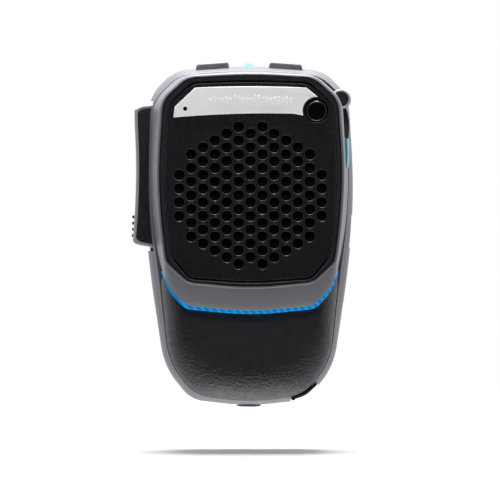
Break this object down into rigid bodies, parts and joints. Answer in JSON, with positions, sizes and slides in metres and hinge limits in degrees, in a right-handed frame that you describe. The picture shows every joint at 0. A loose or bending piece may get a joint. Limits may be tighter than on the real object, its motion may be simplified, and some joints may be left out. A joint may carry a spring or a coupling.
{
  "type": "hand microphone",
  "caption": "Wireless hand microphone with a speaker grille, side talk bar, top volume keys, round front key, corner selector lever, lit trim line and a hang-up stud on its back.",
  "frame": {"origin": "centre of the head of the hang-up stud on the back of the housing", "axes": "+Z along the housing towards its top edge, +Y out of the back along the stud, so the grille faces -Y; +X to the right as seen from the front"},
  "size_m": [0.0644, 0.0378, 0.0999],
  "materials": {
    "grey_shell": "satin moulded plastic, fine even grain",
    "grained_cover": "black plastic with a leather-like moulded grain",
    "soft_rubber": "matt black rubber, fine grain",
    "panel": "satin black moulding, smooth",
    "nameplate": "satin silver with bright cut edges",
    "cloth": "fine black woven dust cloth",
    "light_guide": "translucent blue light guide",
    "led": "white chip light",
    "status_light": "clear pale cyan light pipe",
    "steel": "plated steel",
    "paper_cone": "treated paper, matt",
    "magnet": "sintered magnet, matt",
    "circuit_board": "green solder mask",
    "battery_wrap": "heat-shrink film",
    "foam": "closed-cell foam",
    "plug_rubber": "dark grey rubber",
    "stud_metal": "turned and plated",
    "dark_screw": "black oxide",
    "grey_trim": "satin moulded plastic, lighter grey",
    "dark_plastic": "satin black moulding",
    "gloss_black": "polished black cap",
    "selector_mark": "cyan inlay"
  },
  "bodies": {
    "housing": {"rear_shell": "grey_shell", "front_cover": "grained_cover", "front_bezel": "grey_shell", "bezel_gasket": "soft_rubber", "grille_panel": "panel", "nameplate": "nameplate", "grille_cloth": "cloth", "light_strip": "light_guide", "strip_leds": "led", "status_light_pipe": "status_light", "speaker_frame": "steel", "speaker_cone": "paper_cone", "speaker_magnet": "magnet", "mic_capsule": "steel", "mic_boot": "soft_rubber", "main_board": "circuit_board", "radio_module": "steel", "battery": "battery_wrap", "battery_pad": "foam", "usb_socket": "steel", "bottom_plug": "plug_rubber", "hang_up_stud": "stud_metal", "stud_screw": "steel", "housing_screws": "dark_screw", "board_screws": "steel", "ptt_pivot_pin": "steel", "ptt_bracket": "dark_plastic", "ptt_spring": "steel", "ptt_switch": "dark_plastic", "volume_switches": "dark_plastic", "front_button_switch": "dark_plastic", "selector_pivot_pin": "steel", "selector_switch": "dark_plastic", "selector_mark": "selector_mark", "side_button_switch": "dark_plastic"},
    "talk_bar": {"ptt_bar": "grey_trim", "ptt_core": "soft_rubber"},
    "volume_up": {"volume_up_button": "grey_shell"},
    "volume_down": {"volume_down_button": "grey_shell"},
    "front_key": {"front_button": "gloss_black"},
    "selector": {"selector_lever": "grey_trim", "selector_face": "dark_plastic"},
    "side_key": {"side_button": "soft_rubber"},
    "port_flap": {"port_cover": "soft_rubber"}
  },
  "joints": [
    {"name": "talk_bar_press", "type": "hinge", "parent": "housing", "child": "talk_bar", "pos_m": [-0.0234, -0.0156, 0.0148], "axis": [0, -1, 0], "range_deg": [0, 2.2], "stiffness_Nm_per_rad": 1, "springref_deg": -1.72, "deforming": ["ptt_spring"]},
    {"name": "volume_up_press", "type": "slide", "parent": "housing", "child": "volume_up", "axis": [0, 0, -1], "range_m": [0, 0.0006], "stiffness_N_per_m": 500, "springref_m": -0.0006},
    {"name": "volume_down_press", "type": "slide", "parent": "housing", "child": "volume_down", "axis": [0, 0, -1], "range_m": [0, 0.0006], "stiffness_N_per_m": 500, "springref_m": -0.0006},
    {"name": "front_key_press", "type": "slide", "parent": "housing", "child": "front_key", "axis": [0, 1, 0], "range_m": [0, 0.0008], "stiffness_N_per_m": 400, "springref_m": -0.0006},
    {"name": "side_key_press", "type": "slide", "parent": "housing", "child": "side_key", "axis": [-1, 0, 0], "range_m": [0, 0.0005], "stiffness_N_per_m": 500, "springref_m": -0.0006},
    {"name": "selector_turn", "type": "hinge", "parent": "housing", "child": "selector", "pos_m": [0.0131, -0.0209, 0.0125], "axis": [0, -1, 0], "range_deg": [-28, 25]},
    {"name": "port_cover_open", "type": "hinge", "parent": "housing", "child": "port_flap", "pos_m": [0.01273, -0.0153, -0.06602], "axis": [0, 1, 0], "range_deg": [0, 95]}
  ]
}
